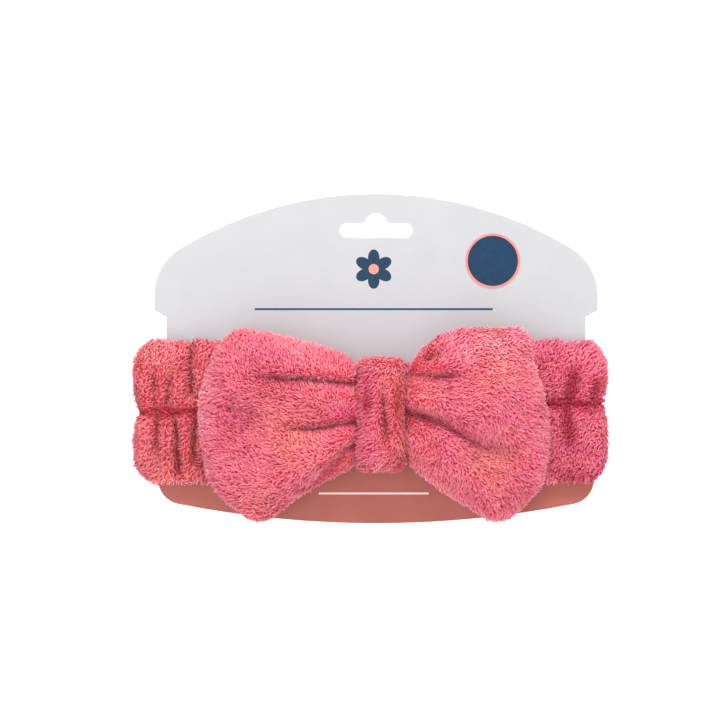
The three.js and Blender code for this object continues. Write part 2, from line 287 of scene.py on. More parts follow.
def makePileNodes():
    # spreads tufts over a piece: cover says where, nap which way they lie, pile how long they are
    tree = bpy.data.node_groups.new("pile", "GeometryNodeTree")
    tree.interface.new_socket("Geometry", in_out="INPUT", socket_type="NodeSocketGeometry")
    tree.interface.new_socket("Spacing", in_out="INPUT", socket_type="NodeSocketFloat")
    tree.interface.new_socket("Tuft", in_out="INPUT", socket_type="NodeSocketObject")
    tree.interface.new_socket("Geometry", in_out="OUTPUT", socket_type="NodeSocketGeometry")
    given = addNode(tree, "NodeGroupInput").outputs

    def stored(name, kind):
        settings = {"data_type": kind}
        node = addNode(tree, "GeometryNodeInputNamedAttribute", settings, {"Name": name})
        return node.outputs["Attribute"]

    def randomVector(size, seed):
        settings = {"data_type": "FLOAT_VECTOR"}
        inputs = {0: (-size, -size, -size), 1: (size, size, size), "Seed": seed}
        return addNode(tree, "FunctionNodeRandomValue", settings, inputs).outputs[0]

    def randomFloat(low, high, seed):
        settings = {"data_type": "FLOAT"}
        return addNode(tree, "FunctionNodeRandomValue", settings, {2: low, 3: high, "Seed": seed}).outputs[1]

    def summed(first, second):
        return addNode(tree, "ShaderNodeVectorMath", {"operation": "ADD"}, {0: first, 1: second}).outputs[0]

    spread = addNode(tree, "GeometryNodeDistributePointsOnFaces", {"distribute_method": "POISSON"}, {
        "Mesh": given["Geometry"], "Distance Min": given["Spacing"], "Density Max": 8e6,
        "Density Factor": stored("cover", "FLOAT"), "Seed": 7})
    upright = summed(spread.outputs["Normal"], randomVector(tuft["stray"], 3))
    lie = summed(stored("nap", "FLOAT_VECTOR"), randomVector(tuft["scatter"], 5))
    turn = addNode(tree, "FunctionNodeAxesToRotation", {"primary_axis": "Z", "secondary_axis": "X"}, {
        "Primary Axis": upright, "Secondary Axis": lie})
    size = addNode(tree, "ShaderNodeMath", {"operation": "MULTIPLY"}, {
        0: stored("pile", "FLOAT"), 1: randomFloat(tuft["shortest"], tuft["longest"], 11)})
    place = addNode(tree, "GeometryNodeInstanceOnPoints", inputs={
        "Points": spread.outputs["Points"], "Rotation": turn.outputs[0], "Scale": size.outputs[0]})
    lock = addNode(tree, "GeometryNodeObjectInfo", inputs={"Object": given["Tuft"]})
    tree.links.new(lock.outputs["Geometry"], place.inputs["Instance"])
    keep = place.outputs["Instances"]
    perTuft = {"data_type": "FLOAT", "domain": "INSTANCE"}
    for name, seed in (("shade", 17), ("pick", 23)):
        keep = addNode(tree, "GeometryNodeStoreNamedAttribute", perTuft, {
            "Geometry": keep, "Name": name, "Value": randomFloat(-1, 1, seed)}).outputs["Geometry"]
    real = addNode(tree, "GeometryNodeRealizeInstances", inputs={"Geometry": keep})
    both = addNode(tree, "GeometryNodeJoinGeometry")
    tree.links.new(real.outputs["Geometry"], both.inputs[0])
    tree.links.new(given["Geometry"], both.inputs[0])
    result = addNode(tree, "NodeGroupOutput")
    tree.links.new(both.outputs[0], result.inputs[0])
    return tree


tuftPiece = makeTuft()
pileNodes = makePileNodes()


def storeFloat(mesh, name, values):
    layer = mesh.attributes.new(name, "FLOAT", "POINT")
    layer.data.foreach_set("value", np.asarray(values, np.float32))


def growPile(piece, nap, length, cover, tone, warmth, pale, spacing, knit=0.05):
    # tone runs from 0, shaded, to 1, bright, and carries painted shade and painted light; warmth from 0, cool
    # pink, to 2, salmon;
    # pale is a paler colour and also painted sheen along edges and tops; knit is how light the cloth is
    # between the tufts
    skinCount = len(piece.data.vertices)
    layer = piece.data.attributes.new("nap", "FLOAT_VECTOR", "POINT")
    layer.data.foreach_set("vector", np.asarray(nap, np.float32).ravel())
    stored = {"pile": length, "cover": cover, "tone": tone, "warmth": warmth, "pale": pale}
    for name, values in stored.items():
        storeFloat(piece.data, name, values)
    modifier = piece.modifiers.new("pile", "NODES")
    modifier.node_group = pileNodes
    modifier["Socket_1"] = spacing
    modifier["Socket_2"] = tuftPiece
    applyModifiers(piece)
    mesh = piece.data

    def values(name):
        data = np.zeros(len(mesh.vertices), np.float32)
        mesh.attributes[name].data.foreach_get("value", data)
        return data

    shades = np.clip(values("tone") + tuft["shadeSpread"] * values("shade"), 0.04, 0.96)
    pick = tuft["hueSpread"] * values("pick")
    hue = np.clip(np.round(values("warmth") + pick), 0, 2)
    # hue 3, the paler colour, is also painted sheen where pale is set along edges and tops
    hue = np.where(values("pale") + pick > 0.6, 3, hue)
    co = readPoints(mesh)
    ripple = 0.5 + 0.5 * np.sin(co @ np.array([2100.0, 1700.0, 2600.0]))
    tips = values("tip")
    isSkin = values("pick") == 0
    bare = knit + 0.1 * ripple + 0.22 * (1 - values("cover"))
    up = np.clip(np.where(isSkin, bare, 0.05 + 0.9 * tips), 0.01, 0.99)
    across = (hue + shades) / 4
    corners = np.zeros(len(mesh.loops), np.int32)
    mesh.loops.foreach_get("vertex_index", corners)
    uv = mesh.uv_layers.new(name="OFBake")
    uv.data.foreach_set("uv", np.stack([across[corners], up[corners]], 1).astype(np.float32).ravel())
    for name in ("nap", "pile", "cover", "tone", "warmth", "pale", "shade", "pick", "tip"):
        mesh.attributes.remove(mesh.attributes[name])
    mesh.shade_smooth()
    print("  pile on", piece.name, len(mesh.polygons), "faces, skin", skinCount)


def ramp(tree, factor, stops, interpolation="LINEAR"):
    node = addNode(tree, "ShaderNodeValToRGB", inputs={"Fac": factor})
    node.color_ramp.interpolation = interpolation
    stopsUsed = node.color_ramp.elements
    stopsUsed[0].position = stops[0][0]
    stopsUsed[0].color = linearColor(stops[0][1])
    stopsUsed[1].position = stops[-1][0]
    stopsUsed[1].color = linearColor(stops[-1][1])
    for place, color in stops[1:-1]:
        stopsUsed.new(place).color = linearColor(color)
    return node.outputs["Color"]


def math2(tree, operation, first, second=0.0):
    return addNode(tree, "ShaderNodeMath", {"operation": operation}, {0: first, 1: second}).outputs[0]


def distanceOf(tree, dx, dz):
    squares = math2(tree, "ADD", math2(tree, "MULTIPLY", dx, dx), math2(tree, "MULTIPLY", dz, dz))
    return math2(tree, "SQRT", squares)


def mixColors(tree, factor, first, second, blend="MIX"):
    settings = {"data_type": "RGBA", "blend_type": blend}
    return addNode(tree, "ShaderNodeMix", settings, {0: factor, 6: first, 7: second}).outputs[2]


def bumped(tree, height, distance):
    return addNode(tree, "ShaderNodeBump", inputs={"Height": height, "Distance": distance}).outputs[0]


def objectPoint(tree):
    return addNode(tree, "ShaderNodeTexCoord").outputs["Object"]


def noiseScale(grain):
    return 1 / (grain * mm)  # grain: size of a speck in mm


def waveScale(period):
    return math.pi / (10 * period * mm)  # period: one line and one gap in mm


def coralFleece(name):
    # coral fleece, knitted polyester with a long brushed pile: deep pink at the roots, pale at the tips; the
    # darker roots are partly painted shade between the tufts and the pale tips partly painted sheen
    material, tree = newMaterial(name)
    uv = addNode(tree, "ShaderNodeUVMap", {"uv_map": "OFBake"})
    parts = addNode(tree, "ShaderNodeSeparateXYZ", inputs={"Vector": uv.outputs[0]})
    height = parts.outputs["Y"]
    shifted = math2(tree, "MULTIPLY", parts.outputs["X"], 4.0)
    shade = math2(tree, "FRACT", shifted)
    hue = math2(tree, "FLOOR", shifted)
    cool = ramp(tree, height, [(0.02, "#D6386A"), (0.4, "#FF668C"), (0.98, "#FFA2B8")])
    plain = ramp(tree, height, [(0.02, "#DC3E5C"), (0.4, "#FF6A82"), (0.98, "#FFA6B0")])
    warm = ramp(tree, height, [(0.02, "#E04656"), (0.4, "#FF7579"), (0.98, "#FFB2AE")])
    # the fourth colour is a paler pink, also used as painted sheen along edges and on tops
    paleAndSheen = ramp(tree, height, [(0.02, "#D84E66"), (0.4, "#FF8A98"), (0.98, "#FFCCCE")])
    color = mixColors(tree, math2(tree, "GREATER_THAN", hue, 0.5), cool, plain)
    color = mixColors(tree, math2(tree, "GREATER_THAN", hue, 1.5), color, warm)
    color = mixColors(tree, math2(tree, "GREATER_THAN", hue, 2.5), color, paleAndSheen)
    # the tone darkens the colour: random differences between tufts, with painted shade in folds and hollows
    # and painted light on tops and rims
    tint = ramp(tree, shade, [(0.0, "#B8606E"), (0.5, "#F4DCE0"), (1.0, "#FFFFFF")])
    color = mixColors(tree, 1.0, color, tint, "MULTIPLY")
    shader = addNode(tree, "ShaderNodeBsdfPrincipled", inputs={
        "Base Color": color, "Roughness": 0.8, "Sheen Weight": 0.25, "Sheen Roughness": 0.4,
        "Sheen Tint": linearColor("#FFC9CF"), "Specular IOR Level": 0.2,
        "Subsurface Weight": 0.2, "Subsurface Scale": 1.5 * mm, "Subsurface Radius": (1.0, 0.5, 0.5)})
    finishMaterial(tree, shader)
    return material


def polyesterThread(name):
    # spun polyester sewing thread: a soft sheen broken by its twist
    material, tree = newMaterial(name)
    wave = addNode(tree, "ShaderNodeTexWave", {"wave_type": "BANDS", "bands_direction": "DIAGONAL"}, {
        "Vector": objectPoint(tree), "Scale": waveScale(0.35), "Distortion": 1.0})
    color = ramp(tree, wave.outputs["Fac"], [(0.0, "#8E3048"), (1.0, "#B84A62")])
    shader = addNode(tree, "ShaderNodeBsdfPrincipled", inputs={
        "Base Color": color, "Roughness": 0.6, "Specular IOR Level": 0.25,
        "Normal": bumped(tree, wave.outputs["Fac"], 0.1 * mm)})
    finishMaterial(tree, shader)
    return material


def wovenElastic(name):
    # knitted elastic tape: fine ribs along its length, a dull rubbery white
    material, tree = newMaterial(name)
    point = objectPoint(tree)
    ribs = addNode(tree, "ShaderNodeTexWave", {"bands_direction": "Z"}, {
        "Vector": point, "Scale": waveScale(1.2)})
    picks = addNode(tree, "ShaderNodeTexWave", {"bands_direction": "X"}, {
        "Vector": point, "Scale": waveScale(0.75)})
    height = math2(tree, "MULTIPLY", ribs.outputs["Fac"], picks.outputs["Fac"])
    color = ramp(tree, height, [(0.0, "#B9A5A6"), (1.0, "#F1E6E6")])
    shader = addNode(tree, "ShaderNodeBsdfPrincipled", inputs={
        "Base Color": color, "Roughness": 0.7, "Normal": bumped(tree, height, 0.2 * mm)})
    finishMaterial(tree, shader)
    return material


printed = {"zoneZ": -87, "motifX": -1, "motifZ": -24.5, "motifRadius": 8.6, "centreRadius": 2.2,
           "ruleZ": -42, "ruleHalf": 52, "lowerRuleZ": -122.5, "lowerRuleHalf": 24, "ruleWidth": 0.45}


def coatedBoard(name):
    # folding box board: silk coated and printed on the front, plain and a little fibrous behind
    material, tree = newMaterial(name)
    point = objectPoint(tree)
    parts = addNode(tree, "ShaderNodeSeparateXYZ", inputs={"Vector": point}).outputs
    across = math2(tree, "DIVIDE", parts["X"], mm)
    up = math2(tree, "DIVIDE", parts["Z"], mm)
    fibre = addNode(tree, "ShaderNodeTexNoise", inputs={
        "Vector": point, "Scale": noiseScale(1.1), "Detail": 4.0})
    mottle = addNode(tree, "ShaderNodeTexNoise", inputs={
        "Vector": point, "Scale": noiseScale(17), "Detail": 3.0})
    pale = ramp(tree, mottle.outputs["Fac"], [(0.35, "#B4B7BB"), (0.65, "#B7B9BD")])
    salmon = ramp(tree, mottle.outputs["Fac"], [(0.35, "#AA5E52"), (0.65, "#AD6256")])
    color = mixColors(tree, math2(tree, "LESS_THAN", up, printed["zoneZ"]), pale, salmon)

    def rule(color, place, half, ink):
        flat = math2(tree, "COMPARE", up, place)
        flat.node.inputs[2].default_value = printed["ruleWidth"]
        wide = math2(tree, "COMPARE", across, printed["motifX"])
        wide.node.inputs[2].default_value = half
        return mixColors(tree, math2(tree, "MULTIPLY", flat, wide), color, linearColor(ink))

    color = rule(color, printed["ruleZ"], printed["ruleHalf"], "#123F66")
    color = rule(color, printed["lowerRuleZ"], printed["lowerRuleHalf"], "#F3DAD2")
    dx = math2(tree, "SUBTRACT", across, printed["motifX"])
    dz = math2(tree, "SUBTRACT", up, printed["motifZ"])
    radius = distanceOf(tree, dx, dz)
    angle = math2(tree, "ARCTAN2", dx, dz)
    petals = math2(tree, "ABSOLUTE", math2(tree, "COSINE", math2(tree, "MULTIPLY", angle, 3.0)))
    petals = math2(tree, "ADD", math2(tree, "MULTIPLY", petals, 0.42), 0.58)
    edge = math2(tree, "MULTIPLY", petals, printed["motifRadius"])
    color = mixColors(tree, math2(tree, "LESS_THAN", radius, edge), color, linearColor("#07324F"))
    inner = math2(tree, "LESS_THAN", radius, printed["centreRadius"])
    color = mixColors(tree, inner, color, linearColor("#E88F84"))
    normal = addNode(tree, "ShaderNodeTexCoord").outputs["Normal"]
    facing = addNode(tree, "ShaderNodeSeparateXYZ", inputs={"Vector": normal}).outputs["Y"]
    front = math2(tree, "LESS_THAN", facing, -0.5)
    plainBack = ramp(tree, fibre.outputs["Fac"], [(0.3, "#B4B2AE"), (0.7, "#BEBCB8")])
    color = mixColors(tree, front, plainBack, color)
    roughness = addNode(tree, "ShaderNodeMapRange", inputs={"Value": front, "To Min": 0.85, "To Max": 0.42})
    shader = addNode(tree, "ShaderNodeBsdfPrincipled", inputs={
        "Base Color": color, "Roughness": roughness.outputs[0], "Coat Weight": 0.04,
        "Specular IOR Level": 0.25, "Normal": bumped(tree, fibre.outputs["Fac"], 0.03 * mm)})
    finishMaterial(tree, shader)
    return material


def roundSticker(name):
    # gloss paper sticker: a salmon ring round a plain navy disc
    material, tree = newMaterial(name)
    low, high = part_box("price_sticker")
    point = objectPoint(tree)
    parts = addNode(tree, "ShaderNodeSeparateXYZ", inputs={"Vector": point}).outputs
    dx = math2(tree, "SUBTRACT", parts["X"], (low.x + high.x) / 2)
    dz = math2(tree, "SUBTRACT", parts["Z"], (low.z + high.z) / 2)
    radius = distanceOf(tree, dx, dz)
    grain = addNode(tree, "ShaderNodeTexNoise", inputs={
        "Vector": point, "Scale": noiseScale(2), "Detail": 3.0})
    navy = ramp(tree, grain.outputs["Fac"], [(0.3, "#062F4C"), (0.7, "#083757")])
    inside = math2(tree, "LESS_THAN", radius, 11 * mm)
    color = mixColors(tree, inside, linearColor("#E4857E"), navy)
    shader = addNode(tree, "ShaderNodeBsdfPrincipled", inputs={
        "Base Color": color, "Roughness": 0.4, "Specular IOR Level": 0.25,
        "Normal": bumped(tree, grain.outputs["Fac"], 0.02 * mm)})
    finishMaterial(tree, shader)
    return material


fleece = coralFleece("coralFleece")
thread = polyesterThread("polyesterThread")
elastic = wovenElastic("wovenElastic")
setMaterial(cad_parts["backing_card"], coatedBoard("coatedBoard"))
setMaterial(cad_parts["price_sticker"], roundSticker("roundSticker"))
setMaterial(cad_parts["knot_tack"], thread)
print("materials done")


knotCentre = np.array([2.0, 0.0, -88.0]) * mm

# in mm; rootShift takes the front layer into the knot; backCorner is where the left back layer shows past
# the front one: x, z, radius, and how far it stands out along x and z
lobes = {"voxel": 3.0, "pileRoom": 1.3, "pileLength": 2.5, "spacing": 0.52, "backSpacing": 0.8,
         "rootShift": 2.0, "seamInset": 1.6, "pressure": 4.0, "reach": 2.2, "heldRoot": 9, "gatherReach": 18,
         "pleatWidth": 6, "pleatHeight": 0.8, "lumpHeight": 1.1, "lumpSize": 18,
         "backCorner": (-64, -126, 18, 2.2, 1.6)}


def napAwayFrom(co, centre, swirlSize, swirlTurn, seed):
    # the pile lies away from a centre, turned a little this way and that
    flat = co - centre
    angle = np.arctan2(flat[:, 2], flat[:, 0]) + swirlTurn * softNoise(co, swirlSize, seed)
    return np.stack([np.cos(angle), np.zeros(len(co)), np.sin(angle)], 1)


def pressAll(co, facing, folds, rolls):
    # broad rolls first, then the narrow folds; also gives how near each point is to a fold
    near = np.zeros(len(co))
    for roll in rolls:
        distance, side, share = alongPath(co, roll["path"])
        fade = np.clip(share / roll["from"], 0, 1) * np.clip((1 - share) / roll["to"], 0, 1)
        fade = fade * fade * (3 - 2 * fade)
        co[:, 1] -= facing * roll["height"] * mm * fade * np.exp(-(distance / (roll["width"] * mm)) ** 2)
    for fold in folds:
        distance, side, share = alongPath(co, fold["path"])
        fade = np.clip((1 - share) / fold["to"], 0, 1)
        if "from" in fold:
            fade = fade * np.clip(share / fold["from"], 0, 1)
        fade = fade * fade * (3 - 2 * fade)
        width = fold["width"] * mm * (1 + 0.9 * share)
        groove = np.exp(-(distance / width) ** 2)
        over = fold.get("over", 1)
        lip = np.exp(-((distance * side * over - 2.0 * width) / (1.6 * width)) ** 2)
        co[:, 1] += facing * mm * fade * (fold["depth"] * groove - fold["lip"] * lip)
        co[:, 2] -= np.abs(facing) * mm * fade * fold.get("lap", 0) * over * lip
        near = np.maximum(near, groove * fade)
    return co, near


# in mm; each path runs out from the knot, and from and to are the shares of it over which the fold comes and
# goes; over says which side laps over the other, lip and lap how far it stands out and across
leftFolds = [
    {"path": [(-8, -74), (-20, -72.4), (-34, -71.6), (-56, -71.4)], "depth": 4.4, "width": 1.5, "over": -1,
     "lip": 2.4, "lap": -1.6, "to": 0.4},
    {"path": [(-8, -90), (-16, -91.4), (-26, -93), (-36, -93.4), (-47, -92)], "depth": 3.8, "width": 1.6,
     "over": -1, "lip": 1.5, "lap": -0.9, "to": 0.6},
    {"path": [(-8, -96), (-13, -101.5), (-22, -112), (-32, -122)], "depth": 4.0, "width": 1.8, "over": -1,
     "lip": 1.6, "lap": -0.6, "to": 0.5},
]
leftRolls = [
    {"path": [(-8, -66), (-30, -61), (-60, -60)], "height": 3.0, "width": 7, "from": 0.1, "to": 0.5},
    {"path": [(-8, -82), (-22, -82), (-44, -80)], "height": 4.2, "width": 5.5, "from": 0.1, "to": 0.6},
    {"path": [(-66, -78), (-56, -90), (-44, -98)], "height": -5, "width": 9, "from": 0.4, "to": 0.4},
    {"path": [(-8, -94), (-24, -103), (-42, -116), (-54, -130)], "height": 4.0, "width": 7.5,
     "from": 0.1, "to": 0.4},
]
rightFolds = [
    {"path": [(13, -71), (19, -68), (24, -64), (31, -58)], "depth": 4.4, "width": 1.5, "over": -1,
     "lip": 1.4, "lap": -0.8, "to": 0.5},
    {"path": [(13, -72.5), (20, -71.4), (29, -71.5), (44, -71.4)], "depth": 3.9, "width": 1.5, "over": 1,
     "lip": 1.8, "lap": -1.1, "to": 0.6},
    {"path": [(13, -85.5), (18, -87), (27, -90.4), (34, -95), (44, -100), (60, -102.5)], "depth": 4.8,
     "width": 1.7, "over": 1, "lip": 2.4, "lap": -1.4, "to": 0.65},
]
rightRolls = [
    {"path": [(20, -66), (32, -64), (46, -60)], "height": 1.6, "width": 6, "from": 0.3, "to": 0.5},
    {"path": [(13, -79), (30, -82), (50, -87), (66, -88)], "height": 4.4, "width": 6.5,
     "from": 0.1, "to": 0.5},
    {"path": [(34, -98), (50, -103), (66, -102)], "height": -4.0, "width": 7, "from": 0.3, "to": 0.5},
    {"path": [(13, -94), (26, -105), (42, -118), (54, -130)], "height": 4.2, "width": 7.5,
     "from": 0.1, "to": 0.4},
]
# painted light, painted shade, warm places and paler places with painted sheen in the pile: x, z, radius,
# tone, warmth, pale
leftPatches = [(-61, -89, 11, -0.35, -0.8, 0), (-34, -99, 12, 0.1, 1.0, 0), (-46, -67, 9, -0.15, -0.3, 0),
               (-14, -104, 7, 0.05, 0.6, 0), (-46, -124, 10, 0, 0.5, 0), (-78, -78, 9, 0.1, 0.2, 0.55),
               (-78, -92, 9, 0.1, 0.2, 0.55), (-34, -60, 10, 0.1, 0, 0.2),
               (-38, -81, 11, -0.2, -0.2, 0)]
rightPatches = [(52, -69, 9, 0.05, 1.0, 0), (49, -110, 11, 0.05, 1.1, 0), (18, -104, 8, 0, 0.8, 0),
                (24, -62, 6, -0.15, 0.8, 0), (66, -120, 12, -0.1, -0.2, 0), (42, -56, 10, 0.12, 0, 0.5),
                (58, -58, 9, 0.12, 0, 0.5), (20, -80, 6, 0.1, 0.3, 0.3),
                (40, -114, 12, -0.15, 0, 0)]
# where the outline is drawn in: x, z, radius, and how far along x
leftNudges = []
rightNudges = [(76, -66, 11, -3.2), (80, -90, 15, -1.4)]


def addPatches(co, looks, patches):
    # looks holds tone, warmth and pale
    for x, z, radius, *changes in patches:
        near = closeTo(co, x, z, radius)
        looks = [look + change * near for look, change in zip(looks, changes)]
    return looks


def makeLobe(side, layer, folds, rolls, patches, nudges):
    node = f"{side}_lobe_{layer}"
    low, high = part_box(node)
    piece = paddingFrom(f"{side}Lobe{layer.capitalize()}", node, lobes["voxel"] * mm)
    shrinkPadding(piece, lobes["pileRoom"] * mm)
    frontLayer = layer == "front"
    middleY = high.y if frontLayer else low.y
    facing = -1 if frontLayer else 1
    away = -1 if side == "left" else 1
    rootX = high.x if side == "left" else low.x
    seed = 3 if side == "left" else 9
    closeInside(piece, facing, middleY, lobes["pileRoom"] * mm)
    co = readPoints(piece.data)
    inner = facing * (co[:, 1] - middleY) < 2 * mm
    nearRoot = np.abs(co[:, 0] - rootX) < lobes["heldRoot"] * mm
    puffCloth(piece, np.maximum(inner, nearRoot).astype(float), lobes["pressure"], lobes["reach"] * mm)
    refine(piece, 2)
    co = readPoints(piece.data)
    outward = np.clip(facing * (co[:, 1] - middleY) / (5 * mm), 0, 1)
    gathered = np.clip(1 - np.abs(co[:, 0] - rootX) / (lobes["gatherReach"] * mm), 0, 1) ** 1.5
    pleats = np.sin(co[:, 2] / mm * 2 * math.pi / lobes["pleatWidth"] + seed)
    co[:, 1] += facing * lobes["pleatHeight"] * mm * pleats * gathered * outward
    lumps = softNoise(co, lobes["lumpSize"] * mm, seed)
    co[:, 1] += facing * lobes["lumpHeight"] * mm * lumps * outward
    for x, z, radius, draw in nudges:
        co[:, 0] += draw * mm * closeTo(co, x, z, radius)
    near = np.zeros(len(co))
    if frontLayer:
        co, near = pressAll(co, outward, folds, rolls)
        co[:, 0] -= away * lobes["rootShift"] * mm * gathered
    elif side == "left":
        x, z, radius, outX, outZ = lobes["backCorner"]
        corner = closeTo(co, x, z, radius)
        co[:, 0] -= outX * mm * corner
        co[:, 2] -= outZ * mm * corner
    writePoints(piece.data, co)
    smoothPoints(piece, 1)
    co = readPoints(piece.data)
    normals = readNormals(piece.data)
    inside = (facing * normals[:, 1] < -0.75) & (facing * (co[:, 1] - middleY) < 3 * mm)
    rim = np.clip(1 - np.abs(normals[:, 1]), 0, 1)
    cover = np.where(inside, 0.05, 1.0)
    nap = napAwayFrom(co, knotCentre, 15 * mm, 1.3, 21)
    clumps = softNoise(co, 2.2 * mm, 43)
    length = lobes["pileLength"] * mm * (1 + 0.2 * softNoise(co, 6 * mm, 41) + 0.2 * clumps)
    length *= (1 - 0.35 * near) * (1 - 0.25 * gathered)
    # painted shade in the folds and painted light at the rim, over random differences in tone
    tone = 0.63 + 0.26 * softNoise(co, 9 * mm, 31) + 0.22 * clumps - 0.14 * near + 0.14 * rim
    warmth = 0.7 + 0.8 * softNoise(co, 20 * mm, 55 + seed)
    # painted sheen where the lobe turns away from the front, less where it is gathered
    pale = rim ** 2 * (0.95 if side == "left" else 0.75) - 0.3 * gathered
    tone, warmth, pale = addPatches(co, [tone, warmth, pale], patches)
    spacing = (lobes["spacing"] if frontLayer else lobes["backSpacing"]) * mm
    growPile(piece, nap, length, cover, tone, warmth, pale, spacing)
    setMaterial(piece, fleece)
    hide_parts(node)
    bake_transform(piece)


def makeLobeSeam(side):
    # the seam lies inside the pile, moved in from the rim towards the lobe's middle
    low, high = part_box(f"{side}_lobe_seam")
    middle = np.array([(low.x + high.x) / 2, 0, (low.z + high.z) / 2])
    piece = newPiece(f"{side}LobeSeam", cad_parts[f"{side}_lobe_seam"].data.copy())
    co = readPoints(piece.data)
    inwards = (middle - co) * np.array([1, 0, 1])
    writePoints(piece.data, co + lobes["seamInset"] * mm * inwards / lengths(inwards))
    setMaterial(piece, thread)
    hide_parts(f"{side}_lobe_seam")
    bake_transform(piece)


for side in ("left", "right"):
    makeLobeSeam(side)
for layer in ("front", "back"):
    makeLobe("left", layer, leftFolds, leftRolls, leftPatches, leftNudges)
    makeLobe("right", layer, rightFolds, rightRolls, rightPatches, rightNudges)
print("bow lobes done")


# in mm; upperScale and lowerScale shorten its two halves, flare widens its foot and narrows its top
knot = {"voxel": 1.6, "pileLength": 2.3, "spacing": 0.52, "room": 0.4, "pressure": 3.0, "reach": 1.0,
        "puffDepth": 12, "roundSides": 3.2, "setBack": 1.4, "upperScale": 0.95, "lowerScale": 0.86,
        "slant": 0.12, "flare": 0.10, "frontDepth": 14}
knotFolds = [
    {"path": [(2.6, -72), (3.3, -84), (3.8, -94), (4.2, -106)], "depth": 3.4, "width": 1.3,
     "lip": 0.8, "from": 0.35, "to": 0.3},
    {"path": [(-3.4, -66), (-3.8, -80), (-3.2, -96)], "depth": 1.3, "width": 1.3,
     "lip": 0.4, "from": 0.3, "to": 0.5},
    {"path": [(8.2, -68), (8.4, -82), (8.0, -98)], "depth": 1.2, "width": 1.3,
     "lip": 0.4, "from": 0.3, "to": 0.5},
]


def makeKnot():
    low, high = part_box("knot_wrap")
    piece = paddingFrom("knotWrap", "knot_wrap", knot["voxel"] * mm)
    shrinkPadding(piece, knot["room"] * mm)
    co = readPoints(piece.data)
    held = (co[:, 1] > low.y + knot["puffDepth"] * mm).astype(float)
    puffCloth(piece, held, knot["pressure"], knot["reach"] * mm)
    refine(piece, 1)
    co = readPoints(piece.data)
    centreX = (low.x + high.x) / 2
    share = (high.z - co[:, 2]) / (high.z - low.z)
    isFront = np.clip((low.y + 9 * mm - co[:, 1]) / (5 * mm), 0, 1)
    crown = ((co[:, 0] - centreX) / (high.x - centreX)) ** 2
    co[:, 1] += isFront * knot["roundSides"] * mm * crown + isFront * knot["setBack"] * mm
    co[:, 0] = centreX + (co[:, 0] - centreX) * (1 + isFront * (knot["flare"] * share - 0.05))
    co, near = pressAll(co, isFront, knotFolds, [])
    middleZ = (low.z + high.z) / 2
    slant = knot["slant"] * (co[:, 0] - centreX) * np.clip((middleZ - co[:, 2]) / (20 * mm), 0, 1)
    scale = np.where(co[:, 2] < middleZ, knot["lowerScale"], knot["upperScale"])
    co[:, 2] = middleZ + (co[:, 2] - middleZ) * scale + slant
    co[:, 1] -= isFront * 0.5 * mm * softNoise(co, 7 * mm, 71)
    writePoints(piece.data, co)
    smoothPoints(piece, 1)
    co = readPoints(piece.data)
    normals = readNormals(piece.data)
    core = np.array([centreX, (low.y + high.y) / 2, (low.z + high.z) / 2])
    outwards = co - core
    outwards[:, 0] = 0
    outwards /= lengths(outwards)
    cover = np.where((normals * outwards).sum(axis=1) < -0.3, 0, 1.0)
    swirl = math.radians(40) * softNoise(co, 8 * mm, 73)
    sideways = np.sin(swirl) + 0.25 * (co[:, 0] - centreX) / (10 * mm)
    nap = np.stack([sideways, np.zeros(len(co)), -np.cos(swirl)], 1)
    behind = co[:, 1] > low.y + knot["frontDepth"] * mm
    nap[behind] = (0.2, 1.0, 0.0)
    length = knot["pileLength"] * mm * (1 - 0.3 * near) * np.where(behind, 0.8, 1)
    # painted shade in the folds, towards the sides and at the foot; pale is painted sheen along the top and
    # the foot
    sides = np.clip(np.abs(co[:, 0] - centreX) / (high.x - centreX) - 0.55, 0, 0.45) / 0.45
    tone = 0.62 + 0.25 * softNoise(co, 6 * mm, 75) - 0.5 * near - 0.08 * sides
    warmth = 0.9 + 0.9 * (co[:, 0] - centreX) / (10 * mm) + 0.6 * softNoise(co, 9 * mm, 77)
    bottom = np.clip((low.z + 14 * mm - co[:, 2]) / (8 * mm), 0, 1)
    tone -= 0.3 * bottom
    pale = 0.55 * bottom + 0.6 * np.clip((co[:, 2] - high.z + 9 * mm) / (7 * mm), 0, 1)
    growPile(piece, nap, length, cover, tone, warmth, pale, knot["spacing"] * mm)
    setMaterial(piece, fleece)
    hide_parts("knot_wrap")
    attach(piece, "headband")


waist = {"voxel": 1.8, "pileLength": 1.4, "spacing": 0.7}


def makeWaist():
    piece = paddingFrom("bowWaist", "bow_waist", waist["voxel"] * mm)
    refine(piece, 1)
    co = readPoints(piece.data)
    co[:, 1] += 0.3 * mm * softNoise(co, 5 * mm, 81)
    writePoints(piece.data, co)
    nap = napAwayFrom(co, knotCentre, 10 * mm, 1.0, 83)
    ones = np.ones(len(co))
    normals = np.abs(readNormals(piece.data))
    edge = ((normals[:, 2] > 0.4) | (normals[:, 0] > 0.4)).astype(float)
    length = ones * waist["pileLength"] * mm
    growPile(piece, nap, length, edge, ones * 0.35, ones, ones * 0, waist["spacing"] * mm)
    setMaterial(piece, fleece)
    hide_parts("bow_waist")
    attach(piece, "headband")


makeKnot()
makeWaist()
print("knot done")


